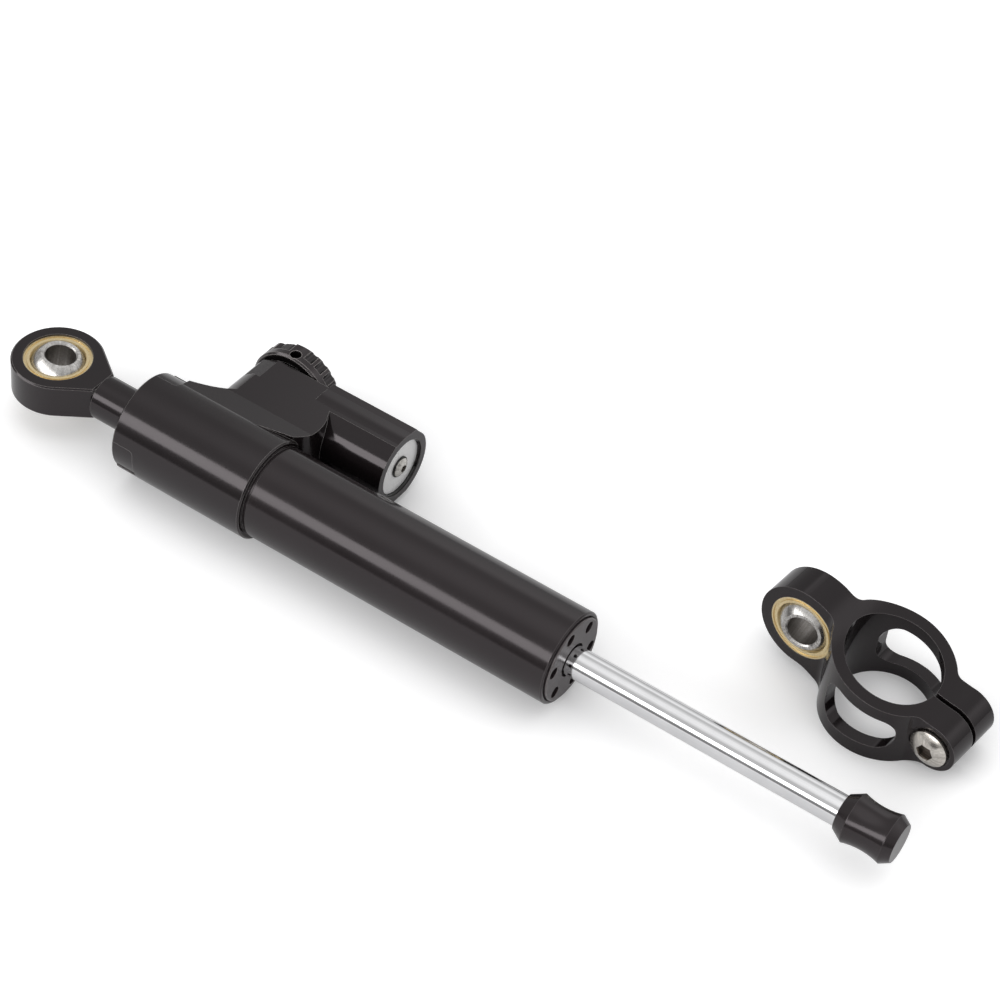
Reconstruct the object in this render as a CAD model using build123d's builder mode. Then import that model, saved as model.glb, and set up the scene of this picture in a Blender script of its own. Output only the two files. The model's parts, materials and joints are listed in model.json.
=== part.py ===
from build123d import *
from math import acos, atan2, cos, degrees, hypot, radians, sin, sqrt
import os

# Motorcycle steering damper: a rod and piston in a twin tube barrel, an end housing with a
# needle valve and a small reservoir at its side, and the loose frame clamp that lies beside it.
# All lengths are millimetres. The origin is the centre of the ball in the rod's eye, +X runs
# along the rod towards its bumper and +Z is up. The damper lies on its housing and its knob.

# Fits, overruns and small edge breaks
running_gap = 0.05
seat_gap = 0.02
side_gap = 0.05
cut_overrun = 1.0
edge_break = 0.4

# Spherical bearings of the rod eye and of the clamp
ball_diameter = 15.875
ball_width = 12.0
ball_bore_radius = 4.0
ball_bore_chamfer = 0.4
eye_ball_lean = 7.0
eye_ball_lean_heading = 34.0
clamp_ball_lean = 10.0
clamp_ball_lean_heading = 24.0
race_radius = 9.0
race_width = 9.0
race_groove_depth = 0.35
race_groove_width = 0.5
race_groove_margin = 0.45
race_countersink = 0.75
countersink_share = 0.35

# Rod eye
eye_wall = 3.2
eye_face_rise = 0.45
neck_reach = 15.2
neck_half_width = 4.1
stem_radius = 5.9
stem_length = 15.3
stem_insertion = 1.3
spigot_radius = 3.0
spigot_length = 14.3
spigot_end_gap = 0.2

# Rod, its bumper and its stroke
rod_radius = 4.0
stroke = 74.0
stroke_reserve = 0.6
bumper_length = 15.2
bumper_bore_depth = 10.0
bumper_tip_wall = 0.6
bumper_shoulder_radius = 6.4
bumper_waist_radius = 5.7
bumper_end_radius = 5.0
bumper_nose_length = 3.0
bumper_back_length = 2.3

# Housing, along the rod
housing_wall = 1.25
recess_depth = 4.2
pocket_height = 3.0
housing_wiper_length = 2.5
housing_seal_length = 3.0
bush_wall = 1.0
housing_bush_length = 9.1
annulus_gap = 1.55
chamber_length = 9.0
inner_tube_wall = 1.2
inner_seat_length = 4.0
annulus_length = 1.8
face_seal_room = 1.3
tube_insertion = 5.6
end_pad_length = 6.8
end_pad_depth = 0.3
end_pad_corner = 1.2
end_pad_chord = 9.4
end_pad_angles = (55.0, 190.0)

# Barrel tube and rod gland
tube_radius = 12.5
tube_wall = 1.25
tube_free_length = 90.1
relief_width = 1.0
relief_depth = 0.45
tube_rim_chamfer = 0.35
gland_rise = 0.6
gland_mouth_gap = 0.6
gland_length = 14.2
inner_tube_insertion = 3.0
gland_bush_length = 5.0
gland_seal_length = 3.0
gland_wiper_length = 2.4
gland_seal_height = 2.5
pin_hole_radius = 1.65
pin_circle_inset = 2.45
pin_hole_depth = 4.0
pin_hole_count = 6
pin_first_angle = 44.5
gland_groove_depth = 1.35
gland_groove_width = 1.6
gland_groove_margin = 4.2
cross_hole_radius = 0.75
cross_hole_margin = 1.7

# Piston on the rod
piston_length = 12.0
piston_rest_gap = 3.5
piston_gap = 0.08
piston_groove_depth = 1.1
piston_groove_width = 1.4
piston_groove_margin = 1.6
band_width = 4.0
band_thickness = 0.6
clip_thickness = 0.8
clip_groove_depth = 0.6
clip_height = 1.6
clip_opening = 3.0

# Valve boss and valve, out along the side axis
valve_from_chamber = 2.8
boss_radius = 11.0
web_half_height = 10.0
port_radius = 1.5
port_wall = 3.5
seat_radius = 3.0
seat_length = 3.5
orifice_radius = 1.05
orifice_mouth_depth = 1.0
orifice_mouth_widening = 0.4
cavity_radius = 5.0
cavity_length = 15.7
valve_bush_length = 8.7
valve_bush_recess = 0.2
passage_radius = 1.2
facet_angle = 117.0
facet_depth = 0.65
facet_length = 8.0

# Spindle and needle
spindle_radius = 2.0
spindle_top_wall = 2.4
o_ring_groove_margin = 0.9
o_ring_groove_width = 0.9
spindle_groove_depth = 0.8
shoulder_radius = 2.5
shoulder_length = 1.2
drive_slot_width = 1.0
drive_slot_length = 2.6
drive_slot_depth = 3.6
tang_width = 0.8
tang_length = 2.4
tang_height = 3.5
needle_thread_radius = 2.55
needle_thread_length = 2.5
needle_thread_margin = 0.5
needle_stem_radius = 1.2
needle_cone_length = 2.5
needle_tip_radius = 0.3

# Adjuster knob
knob_gap = 1.0
knob_radius = 12.0
knob_thickness = 6.1
knob_top_wall = 1.8
flute_positions = 21
flute_radius = 1.45
flute_depth = 0.85
flute_floor = 2.3
knob_chamfer = 0.5
dish_radius = 8.6
dish_depth = 0.6
screw_radius = 1.5
screw_length = 5.0
screw_socket = 1.5
screw_socket_depth = 1.6
screw_from_face = 1.9
detent_circle_radius = 8.2
detent_ball_radius = 1.2
detent_groove_depth = 0.7
detent_groove_side_gap = 0.1
detent_hole_gap = 0.05
detent_hole_depth = 4.7
detent_spring_turns = 4
detent_wire_radius = 0.18

# Reservoir
reservoir_side_gap = 1.1
reservoir_tube_gap = 5.1
reservoir_radius = 10.35
reservoir_length = 26.3
reservoir_floor = 2.6
reservoir_bore_radius = 8.3
reservoir_flat_outer = 5.0
reservoir_flat_inner = 3.85
reservoir_bevel_run = 4.55
reservoir_bevel_drop = 5.8
cap_recess = 1.0
cap_thickness = 3.5
cap_groove_depth = 1.0
cap_groove_width = 1.3
cap_clip_thickness = 0.7
cap_clip_height = 0.75
cap_clip_groove_depth = 0.45
cap_clip_opening = 9.0
bleed_radius = 1.5
bleed_length = 3.0
bleed_head_radius = 2.65
bleed_head_height = 1.2
bleed_rim_height = 0.3
bleed_socket = 2.0
bleed_socket_depth = 0.8
washer_thickness = 0.3
washer_radius = 3.0
separator_length = 5.0
separator_from_floor = 7.5
separator_groove_depth = 1.0
separator_groove_width = 1.3
separator_cup_wall = 1.6
separator_cup_depth = 3.0

# Web between the barrel, the boss and the reservoir: its left edge as shares of the run from
# the housing's end to the valve axis, and of the rise from the rod's axis to the boss's root
web_left_along_shares = (0.255, 0.375, 0.491, 0.611, 0.731, 0.838)
web_left_out_shares = (0.528, 0.596, 0.677, 0.783, 0.919, 1.0)
web_root_rise = 2.35
web_crest_side = 6.2
web_crest_run = 7.8
web_right_start_inset = 3.2
web_right_end_inset = 4.95
web_right_bulge = 1.8
web_tube_gap = 0.1

# Clamp: heights are from the ball's centre, which is level with nothing else on the clamp
clamp_yaw = -6.4
clamp_station = 200.3
clamp_side = 46.2
clamp_ring_wall = 3.3
clamp_ring_offset = 23.7
ring_foot_depth = 15.2
ring_top_lug_side = 7.4
ring_top_middle = 4.1
ring_top_ear_side = 1.6
lug_radius = 12.0
lug_half_thickness = 4.6
lug_blend_radius = 3.0
ear_offset = 18.4
ear_drop = 5.9
ear_radius = 6.9
ear_half_width = 8.5
ear_blend_radius = 3.0
slit_width = 1.3
window_lug_reach = 9.2
window_ear_reach = 10.5
window_lug_top = 2.3
window_lug_foot = 11.5
window_ear_top = 1.6
window_ear_foot = 10.6
window_corner_radius = 4.3
bolt_radius = 3.0
bolt_head_radius = 5.1
bolt_head_height = 3.3
bolt_rim_height = 1.5
bolt_head_gap = 0.5
bolt_head_sink = 0.6
bolt_socket = 4.0
bolt_socket_depth = 2.0
bolt_end_margin = 1.0
rim_side_share = 0.75

# Stations along the rod, each worked out from the one before
ball_radius = ball_diameter / 2
eye_radius = race_radius + eye_wall
eye_width = race_width + 2 * eye_face_rise
stem_end = neck_reach + stem_length
spigot_start = stem_end - spigot_length
housing_start = stem_end - stem_insertion
housing_wiper_start = housing_start + recess_depth
housing_seal_start = housing_wiper_start + housing_wiper_length
housing_bush_start = housing_seal_start + housing_seal_length
chamber_start = housing_bush_start + housing_bush_length
inner_tube_start = chamber_start + chamber_length
annulus_start = inner_tube_start + inner_seat_length
face_seal_start = annulus_start + annulus_length
tube_start = face_seal_start + face_seal_room
housing_end = tube_start + tube_insertion
tube_end = housing_end + tube_free_length
gland_end = tube_end + gland_rise
gland_start = gland_end - gland_length
inner_tube_end = gland_start + inner_tube_insertion
gland_bush_end = inner_tube_end + gland_bush_length
gland_seal_end = gland_bush_end + gland_seal_length
gland_wiper_end = gland_seal_end + gland_wiper_length
piston_end = gland_start - piston_rest_gap
piston_start = piston_end - piston_length
bumper_start = gland_end + stroke + stroke_reserve
bumper_end = bumper_start + bumper_length
rod_end = bumper_start + bumper_bore_depth

# Radii, each from the rod or the tube
housing_radius = tube_radius + housing_wall
tube_bore_radius = tube_radius - tube_wall
inner_tube_radius = tube_bore_radius - annulus_gap
chamber_radius = inner_tube_radius - inner_tube_wall
bush_radius = rod_radius + bush_wall
pocket_radius = rod_radius + pocket_height
gland_seal_radius = rod_radius + gland_seal_height
pin_circle_radius = tube_bore_radius - pin_circle_inset
reservoir_offset = tube_radius + reservoir_tube_gap + reservoir_radius
web_root_offset = housing_radius + web_root_rise
web_right_start = tube_radius - web_right_start_inset
web_right_end = reservoir_offset - web_right_end_inset

# Stations of the valve, out from the rod's axis
valve_station = chamber_start + valve_from_chamber
seat_start = chamber_radius + port_wall
cavity_start = seat_start + seat_length
boss_end = cavity_start + cavity_length
valve_bush_end = boss_end - valve_bush_recess
valve_bush_start = valve_bush_end - valve_bush_length
knob_start = boss_end + knob_gap
knob_face = knob_start + knob_thickness
spindle_end = knob_face - knob_top_wall
shoulder_end = valve_bush_end - spindle_top_wall
shoulder_start = shoulder_end - shoulder_length
needle_thread_start = valve_bush_start + needle_thread_margin
needle_thread_end = needle_thread_start + needle_thread_length
needle_cone_start = cavity_start
needle_tip = needle_cone_start - needle_cone_length

# Stations of the reservoir
reservoir_start = valve_station + knob_radius + reservoir_side_gap
reservoir_end = reservoir_start + reservoir_length
reservoir_bore_start = reservoir_start + reservoir_floor
cap_face = reservoir_end - cap_recess
cap_start = cap_face - cap_thickness
separator_start = reservoir_bore_start + separator_from_floor
separator_end = separator_start + separator_length

# The damper rests on its housing and on the lower rim of its knob, which rolls it about X
damper_roll = degrees(acos(housing_radius / hypot(knob_face, knob_radius)) - atan2(knob_face, knob_radius))
level = Plane.XY.rotated((damper_roll, 0, 0))
upright = Axis((0, 0, 0), level.z_dir)
floor_height = -housing_radius


def damper_point(station, side, height):
    return level.from_local_coords((station, side, height))


def across(station):
    return Plane(origin=damper_point(station, 0, 0), x_dir=level.y_dir, z_dir=level.x_dir)


def across_reservoir(station):
    return Plane(
        origin=damper_point(station, reservoir_offset, 0), x_dir=level.y_dir, z_dir=level.x_dir
    )


def beside(side):
    return Plane(origin=damper_point(valve_station, side, 0), x_dir=level.x_dir, z_dir=level.y_dir)


valve_axis = Axis(damper_point(valve_station, 0, 0), level.y_dir)
reservoir_axis = Axis(damper_point(0, reservoir_offset, 0), level.x_dir)


def turned(outline, axis=Axis.X, mode=Mode.ADD):
    # Turns an outline of the level plane about an axis that lies in it
    with BuildSketch(level) as section:
        with BuildLine():
            Polyline(*outline, close=True)
        make_face()
    revolve(section.sketch, axis=axis, mode=mode)


def along(start, end, inner, outer):
    # Outline of a plain ring round the rod's axis
    return [(start, inner), (start, outer), (end, outer), (end, inner)]


def along_reservoir(start, end, inner, outer):
    low, high = reservoir_offset + inner, reservoir_offset + outer
    return [(start, low), (start, high), (end, high), (end, low)]


def out_of_side(start, end, inner, outer):
    near, far = valve_station + inner, valve_station + outer
    return [(near, start), (far, start), (far, end), (near, end)]


os.makedirs("parts", exist_ok=True)

# Rod eye: a flat round head that narrows to a neck, and a round stem for the rod
neck_angle = atan2(neck_half_width, neck_reach) + acos(eye_radius / hypot(neck_reach, neck_half_width))
neck_tangent = (eye_radius * cos(neck_angle), eye_radius * sin(neck_angle))
with BuildPart() as rod_eye:
    with BuildSketch(level.offset(-eye_width / 2)):
        Circle(eye_radius)
        with BuildLine():
            Polyline(
                (0, 0),
                neck_tangent,
                (neck_reach, neck_half_width),
                (neck_reach, -neck_half_width),
                (neck_tangent[0], -neck_tangent[1]),
                close=True,
            )
        make_face()
    extrude(amount=eye_width)
    chamfer(rod_eye.edges().group_by(upright)[-1], edge_break)
    chamfer(rod_eye.edges().group_by(upright)[0], edge_break)
    turned(
        [
            (neck_reach, 0),
            (neck_reach, stem_radius - edge_break),
            (neck_reach + edge_break, stem_radius),
            (stem_end - edge_break, stem_radius),
            (stem_end, stem_radius - edge_break),
            (stem_end, 0),
        ]
    )
    turned(along(spigot_start, stem_end + cut_overrun, 0, spigot_radius + seat_gap), mode=Mode.SUBTRACT)
    with BuildSketch(level):
        Circle(race_radius + seat_gap)
    extrude(amount=eye_width, both=True, mode=Mode.SUBTRACT)
rod_eye.part.label = "rod_eye"
export_step(rod_eye.part, "parts/rod_eye.step")


def bearing_race():
    # Race with a ball seat
    Cylinder(race_radius, race_width)
    Sphere(ball_radius + running_gap, mode=Mode.SUBTRACT)


def staking_groove(face):
    # Thin groove near the race's rim
    with BuildSketch(face) as groove:
        Circle(race_radius - race_groove_margin)
        Circle(race_radius - race_groove_margin - race_groove_width, mode=Mode.SUBTRACT)
    extrude(groove.sketch, amount=race_groove_depth, both=True, mode=Mode.SUBTRACT)


def countersinks():
    # Wide chamfers round both mouths of the ball seat
    seat = ball_radius + running_gap
    mouth = sqrt(seat**2 - (race_width / 2 - race_countersink) ** 2)
    sink_height = 2 * race_countersink
    with Locations((0, 0, race_width / 2), Location((0, 0, -race_width / 2), (180, 0, 0))):
        Cone(mouth, mouth + sink_height * countersink_share, sink_height, mode=Mode.SUBTRACT)


with BuildPart(level) as eye_race:
    bearing_race()
    countersinks()
    staking_groove(level.offset(race_width / 2))
    staking_groove(level.offset(-race_width / 2))
eye_race.part.label = "eye_race"
export_step(eye_race.part, "parts/eye_race.step")


def leaning(plane, lean, heading):
    # The plane tipped about its own centre, towards a heading counted from its local x
    return Plane(plane.location * Rot(0, 0, heading) * Rot(0, lean, 0))


def bearing_ball():
    # Ball cut flat at both ends, with a through bore
    Sphere(ball_radius)
    Box(ball_diameter * 2, ball_diameter * 2, ball_width, mode=Mode.INTERSECT)
    Cylinder(ball_bore_radius, ball_width + cut_overrun, mode=Mode.SUBTRACT)


with BuildPart(leaning(level, eye_ball_lean, eye_ball_lean_heading)) as eye_ball:
    bearing_ball()
    chamfer(
        eye_ball.edges().filter_by(GeomType.CIRCLE).filter_by(lambda e: e.radius < ball_bore_radius + seat_gap),
        ball_bore_chamfer,
    )
eye_ball.part.label = "eye_ball"
export_step(eye_ball.part, "parts/eye_ball.step")

# Rod with its threaded spigot and two circlip grooves for the piston
clip_groove_radius = rod_radius - clip_groove_depth
left_clip_start = piston_start - side_gap - clip_thickness
right_clip_start = piston_end + side_gap
with BuildPart() as rod:
    turned(
        [
            (spigot_start + spigot_end_gap, 0),
            (spigot_start + spigot_end_gap, spigot_radius - edge_break),
            (spigot_start + spigot_end_gap + edge_break, spigot_radius),
            (stem_end + seat_gap, spigot_radius),
            (stem_end + seat_gap, rod_radius - edge_break / 2),
            (stem_end + seat_gap + edge_break / 2, rod_radius),
            (left_clip_start - side_gap, rod_radius),
            (left_clip_start - side_gap, clip_groove_radius),
            (left_clip_start + clip_thickness + side_gap, clip_groove_radius),
            (left_clip_start + clip_thickness + side_gap, rod_radius),
            (right_clip_start - side_gap, rod_radius),
            (right_clip_start - side_gap, clip_groove_radius),
            (right_clip_start + clip_thickness + side_gap, clip_groove_radius),
            (right_clip_start + clip_thickness + side_gap, rod_radius),
            (rod_end, rod_radius),
            (rod_end, 0),
        ]
    )
rod.part.label = "rod"
export_step(rod.part, "parts/rod.step")

# Waisted bumper pressed onto the free end of the rod
bumper_bore_radius = rod_radius + seat_gap
with BuildPart() as rod_bumper:
    with BuildSketch(level):
        with BuildLine():
            Polyline(
                (rod_end + seat_gap, 0),
                (rod_end + seat_gap, bumper_bore_radius),
                (bumper_start, bumper_bore_radius),
                (bumper_start, bumper_bore_radius + bumper_tip_wall),
                (bumper_start + bumper_nose_length, bumper_shoulder_radius),
            )
            ThreePointArc(
                (bumper_start + bumper_nose_length, bumper_shoulder_radius),
                ((bumper_start + bumper_nose_length + bumper_end - bumper_back_length) / 2, bumper_waist_radius),
                (bumper_end - bumper_back_length, bumper_shoulder_radius),
            )
            Polyline(
                (bumper_end - bumper_back_length, bumper_shoulder_radius),
                (bumper_end, bumper_end_radius),
                (bumper_end, 0),
                (rod_end + seat_gap, 0),
            )
        make_face()
    revolve(axis=Axis.X)
rod_bumper.part.label = "rod_bumper"
export_step(rod_bumper.part, "parts/rod_bumper.step")

# Barrel tube, with a thread relief just outside the housing
with BuildPart() as barrel_tube:
    turned(
        [
            (tube_start, tube_bore_radius),
            (tube_start, tube_radius - seat_gap),
            (housing_end, tube_radius - seat_gap),
            (housing_end, tube_radius - relief_depth),
            (housing_end + relief_width, tube_radius - relief_depth),
            (housing_end + relief_width, tube_radius - edge_break / 2),
            (housing_end + relief_width + edge_break / 2, tube_radius),
            (tube_end - tube_rim_chamfer, tube_radius),
            (tube_end, tube_radius - tube_rim_chamfer),
            (tube_end, tube_bore_radius + tube_rim_chamfer),
            (tube_end - tube_rim_chamfer, tube_bore_radius),
        ]
    )
barrel_tube.part.label = "barrel_tube"
export_step(barrel_tube.part, "parts/barrel_tube.step")

# Inner tube, the working cylinder, with cross holes beside the gland
cross_hole_station = gland_start - cross_hole_margin
with BuildPart() as inner_tube:
    turned(
        along(inner_tube_start + seat_gap, inner_tube_end - seat_gap, chamber_radius, inner_tube_radius - seat_gap)
    )
    with BuildSketch(level):
        with Locations((cross_hole_station, 0)):
            Circle(cross_hole_radius)
    extrude(amount=inner_tube_radius + cut_overrun, both=True, mode=Mode.SUBTRACT)
inner_tube.part.label = "inner_tube"
export_step(inner_tube.part, "parts/inner_tube.step")

# Rod gland: the end plug, with pin holes for its key and pockets for bush, seal and wiper
gland_radius = tube_bore_radius - seat_gap
gland_groove_end = gland_end - gland_groove_margin
gland_groove_start = gland_groove_end - gland_groove_width
with BuildPart() as rod_gland:
    turned(
        [
            (gland_start, inner_tube_radius),
            (gland_start, gland_radius - edge_break),
            (gland_start + edge_break, gland_radius),
            (gland_groove_start, gland_radius),
            (gland_groove_start, tube_bore_radius - gland_groove_depth),
            (gland_groove_end, tube_bore_radius - gland_groove_depth),
            (gland_groove_end, gland_radius),
            (gland_end - edge_break / 2, gland_radius),
            (gland_end, gland_radius - edge_break / 2),
            (gland_end, rod_radius + gland_mouth_gap),
            (gland_wiper_end + seat_gap, rod_radius + gland_mouth_gap),
            (gland_wiper_end + seat_gap, gland_seal_radius),
            (gland_bush_end, gland_seal_radius),
            (gland_bush_end, bush_radius),
            (inner_tube_end, bush_radius),
            (inner_tube_end, inner_tube_radius),
        ]
    )
    with BuildSketch(across(gland_end)):
        with PolarLocations(pin_circle_radius, pin_hole_count, start_angle=pin_first_angle):
            Circle(pin_hole_radius)
    extrude(amount=-pin_hole_depth, mode=Mode.SUBTRACT)
rod_gland.part.label = "rod_gland"
export_step(rod_gland.part, "parts/rod_gland.step")

# Guide bush, seal and wiper in the gland
rod_fit_radius = rod_radius + running_gap
with BuildPart() as gland_bush:
    turned(along(inner_tube_end + seat_gap, gland_bush_end - seat_gap, rod_fit_radius, bush_radius - seat_gap))
gland_bush.part.label = "gland_bush"
export_step(gland_bush.part, "parts/gland_bush.step")

seal_lip_share = 0.45
with BuildPart() as gland_seal:
    turned(
        [
            (gland_bush_end + seat_gap, rod_fit_radius),
            (gland_bush_end + seat_gap, rod_fit_radius + (gland_seal_radius - rod_fit_radius) * seal_lip_share),
            (
                gland_bush_end + gland_seal_length * seal_lip_share,
                rod_fit_radius + (gland_seal_radius - rod_fit_radius) * seal_lip_share,
            ),
            (gland_bush_end + gland_seal_length * seal_lip_share, gland_seal_radius - seat_gap),
            (gland_seal_end - seat_gap, gland_seal_radius - seat_gap),
            (gland_seal_end - seat_gap, rod_fit_radius),
        ]
    )
gland_seal.part.label = "gland_seal"
export_step(gland_seal.part, "parts/gland_seal.step")

wiper_face_share = 0.7
with BuildPart() as gland_wiper:
    turned(
        [
            (gland_seal_end + seat_gap, rod_fit_radius),
            (gland_seal_end + seat_gap, gland_seal_radius - seat_gap),
            (gland_seal_end + gland_wiper_length * wiper_face_share, gland_seal_radius - seat_gap),
            (
                gland_seal_end + gland_wiper_length * wiper_face_share,
                (gland_seal_radius + rod_fit_radius) / 2,
            ),
            (gland_wiper_end, rod_fit_radius + edge_break),
            (gland_wiper_end, rod_fit_radius),
        ]
    )
gland_wiper.part.label = "gland_wiper"
export_step(gland_wiper.part, "parts/gland_wiper.step")

gland_ring_radius = gland_groove_depth / 2 - seat_gap
with BuildPart(across((gland_groove_start + gland_groove_end) / 2)) as gland_o_ring:
    Torus(tube_bore_radius - gland_groove_depth / 2, gland_ring_radius)
gland_o_ring.part.label = "gland_o_ring"
export_step(gland_o_ring.part, "parts/gland_o_ring.step")

# Housing: barrel end, web, valve boss and reservoir in one piece
web_run = valve_station - housing_start
web_left = [
    (housing_start + web_run * run, web_root_offset * out)
    for run, out in zip(web_left_along_shares, web_left_out_shares)
]
crest_height = sqrt(housing_radius**2 - web_crest_side**2)
passage_side = valve_bush_start - passage_radius - side_gap
annulus_middle = (annulus_start + face_seal_start) / 2
flat_tangent = atan2(web_half_height, -reservoir_flat_inner) + acos(
    min(1, reservoir_radius / hypot(web_half_height, reservoir_flat_inner))
)


def end_pad(angle):
    # Shallow pad let into the rim of the housing's end, open towards the eye
    turn = radians(angle)
    out = level.y_dir * cos(turn) + level.z_dir * sin(turn)
    plane = Plane(
        origin=damper_point(housing_start, 0, 0) + out * (housing_radius - end_pad_depth),
        x_dir=level.x_dir,
        z_dir=out,
    )
    with BuildPart(mode=Mode.PRIVATE) as pad:
        with BuildSketch(plane):
            RectangleRounded(end_pad_length * 2, end_pad_chord, end_pad_corner)
        extrude(amount=housing_radius, both=True)
        with BuildSketch(across(housing_start)):
            Circle(housing_radius - end_pad_depth)
        extrude(amount=end_pad_length * 2, both=True, mode=Mode.SUBTRACT)
        with BuildSketch(plane.offset(-housing_radius)):
            Rectangle(end_pad_length * 4, housing_radius * 4)
        extrude(amount=-housing_radius * 2, mode=Mode.SUBTRACT)
    return pad.part


with BuildPart() as housing:
    turned(
        [
            (housing_start, 0),
            (housing_start, housing_radius - edge_break),
            (housing_start + edge_break, housing_radius),
            (housing_end - edge_break, housing_radius),
            (housing_end, housing_radius - edge_break),
            (housing_end, 0),
        ]
    )
    # web seen from above
    with BuildSketch(level):
        with BuildLine():
            Spline(*web_left)
            Polyline(
                web_left[-1],
                (valve_station, boss_end),
                (reservoir_start + reservoir_floor, boss_end),
                (housing_end, web_right_end),
            )
            ThreePointArc(
                (housing_end, web_right_end),
                (housing_end + web_right_bulge, (web_right_start + web_right_end) / 2),
                (housing_end - edge_break * 2, web_right_start),
            )
            Polyline((housing_end - edge_break * 2, web_right_start), (housing_start + web_run / 2, 0), web_left[0])
        make_face()
    extrude(amount=housing_radius, both=True)
    # web and housing barrel seen along the rod: the web's faces rise a little towards the barrel
    with BuildSketch(across(housing_start)):
        Circle(housing_radius)
        with BuildLine():
            Polyline(
                (0, crest_height),
                (web_crest_side, crest_height),
                (web_crest_side + web_crest_run, web_half_height),
                (boss_end, web_half_height),
                (boss_end, -web_half_height),
                (web_crest_side + web_crest_run, -web_half_height),
                (web_crest_side, -crest_height),
                (0, -crest_height),
                close=True,
            )
        make_face()
    extrude(amount=housing_end - housing_start + tube_insertion, mode=Mode.INTERSECT)
    turned(
        along(housing_end, housing_end + tube_insertion, 0, tube_radius + web_tube_gap), mode=Mode.SUBTRACT
    )
    # valve boss, flattened above and below like the web
    with BuildSketch(beside(housing_radius / 2)):
        Circle(boss_radius)
        Rectangle(boss_radius * 2, web_half_height * 2, mode=Mode.INTERSECT)
    extrude(amount=boss_end - housing_radius / 2)
    # reservoir barrel
    with BuildSketch(across_reservoir(reservoir_start)):
        Circle(reservoir_radius)
        with BuildLine():
            Polyline(
                (0, 0),
                (reservoir_radius * cos(flat_tangent), reservoir_radius * sin(flat_tangent)),
                (-reservoir_flat_inner, web_half_height),
                (reservoir_flat_outer, web_half_height),
                (reservoir_flat_outer + reservoir_bevel_run, web_half_height - reservoir_bevel_drop),
                (reservoir_radius, 0),
                close=True,
            )
        make_face()
        with Locations((0, -web_half_height)):
            Rectangle(reservoir_radius * 4, web_half_height * 4, align=(Align.CENTER, Align.MIN), mode=Mode.INTERSECT)
    extrude(amount=reservoir_length)
    # bores along the rod
    turned(
        [
            (housing_start - cut_overrun, 0),
            (housing_start - cut_overrun, pocket_radius),
            (housing_bush_start, pocket_radius),
            (housing_bush_start, bush_radius),
            (chamber_start, bush_radius),
            (chamber_start, chamber_radius),
            (inner_tube_start, chamber_radius),
            (inner_tube_start, inner_tube_radius),
            (annulus_start, inner_tube_radius),
            (annulus_start, tube_bore_radius),
            (face_seal_start, tube_bore_radius),
            (face_seal_start, tube_radius),
            (housing_end + cut_overrun, tube_radius),
            (housing_end + cut_overrun, 0),
        ],
        mode=Mode.SUBTRACT,
    )
    # valve bores
    turned(out_of_side(chamber_radius / 2, seat_start + cut_overrun, 0, port_radius), valve_axis, Mode.SUBTRACT)
    turned(out_of_side(seat_start, cavity_start + cut_overrun, 0, seat_radius), valve_axis, Mode.SUBTRACT)
    turned(out_of_side(cavity_start, boss_end + cut_overrun, 0, cavity_radius), valve_axis, Mode.SUBTRACT)
    # reservoir bore with its circlip groove
    turned(
        along_reservoir(reservoir_bore_start, reservoir_end + cut_overrun, 0, reservoir_bore_radius),
        reservoir_axis,
        Mode.SUBTRACT,
    )
    turned(
        along_reservoir(
            cap_face + seat_gap,
            cap_face + cap_clip_thickness + side_gap,
            0,
            reservoir_bore_radius + cap_clip_groove_depth,
        ),
        reservoir_axis,
        Mode.SUBTRACT,
    )
    # oil passage from the annulus to the valve cavity, and from there to the reservoir
    with BuildSketch(
        Plane(
            origin=damper_point(annulus_middle, tube_bore_radius - passage_radius, 0),
            z_dir=damper_point(valve_station + cavity_radius, cavity_start + passage_radius, 0)
            - damper_point(annulus_middle, tube_bore_radius - passage_radius, 0),
        )
    ):
        Circle(passage_radius)
    extrude(
        amount=hypot(
            annulus_middle - valve_station - cavity_radius, cavity_start - tube_bore_radius + 2 * passage_radius
        )
        + passage_radius,
        mode=Mode.SUBTRACT,
    )
    with BuildSketch(across(valve_station + cavity_radius / 2)):
        with Locations((passage_side, 0)):
            Circle(passage_radius)
    extrude(amount=reservoir_bore_start - valve_station, mode=Mode.SUBTRACT)
    # detent hole in the boss's end, on the side away from the reservoir
    with BuildSketch(beside(boss_end)):
        with Locations((-detent_circle_radius, 0)):
            Circle(detent_ball_radius + detent_hole_gap)
    extrude(amount=-detent_hole_depth, mode=Mode.SUBTRACT)
    # flat facet on the boss's upper side, away from the reservoir
    facet_turn = radians(facet_angle)
    with BuildSketch(
        Plane(
            origin=damper_point(
                valve_station + (boss_radius - facet_depth) * cos(facet_turn),
                boss_end - facet_length,
                (boss_radius - facet_depth) * sin(facet_turn),
            ),
            x_dir=level.y_dir,
            z_dir=level.x_dir * cos(facet_turn) + level.z_dir * sin(facet_turn),
        )
    ):
        Rectangle(facet_length + cut_overrun, boss_radius * 2, align=(Align.MIN, Align.CENTER))
    extrude(amount=boss_radius, mode=Mode.SUBTRACT)
    # end pads
    add(end_pad(end_pad_angles[0]), mode=Mode.SUBTRACT)
    add(end_pad(end_pad_angles[1]), mode=Mode.SUBTRACT)
housing.part.label = "housing"
export_step(housing.part, "parts/housing.step")

# Bush, seal and wiper at the housing's end
with BuildPart() as housing_bush:
    turned(
        along(housing_bush_start + seat_gap, chamber_start - seat_gap, rod_fit_radius, bush_radius - seat_gap)
    )
housing_bush.part.label = "housing_bush"
export_step(housing_bush.part, "parts/housing_bush.step")

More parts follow.
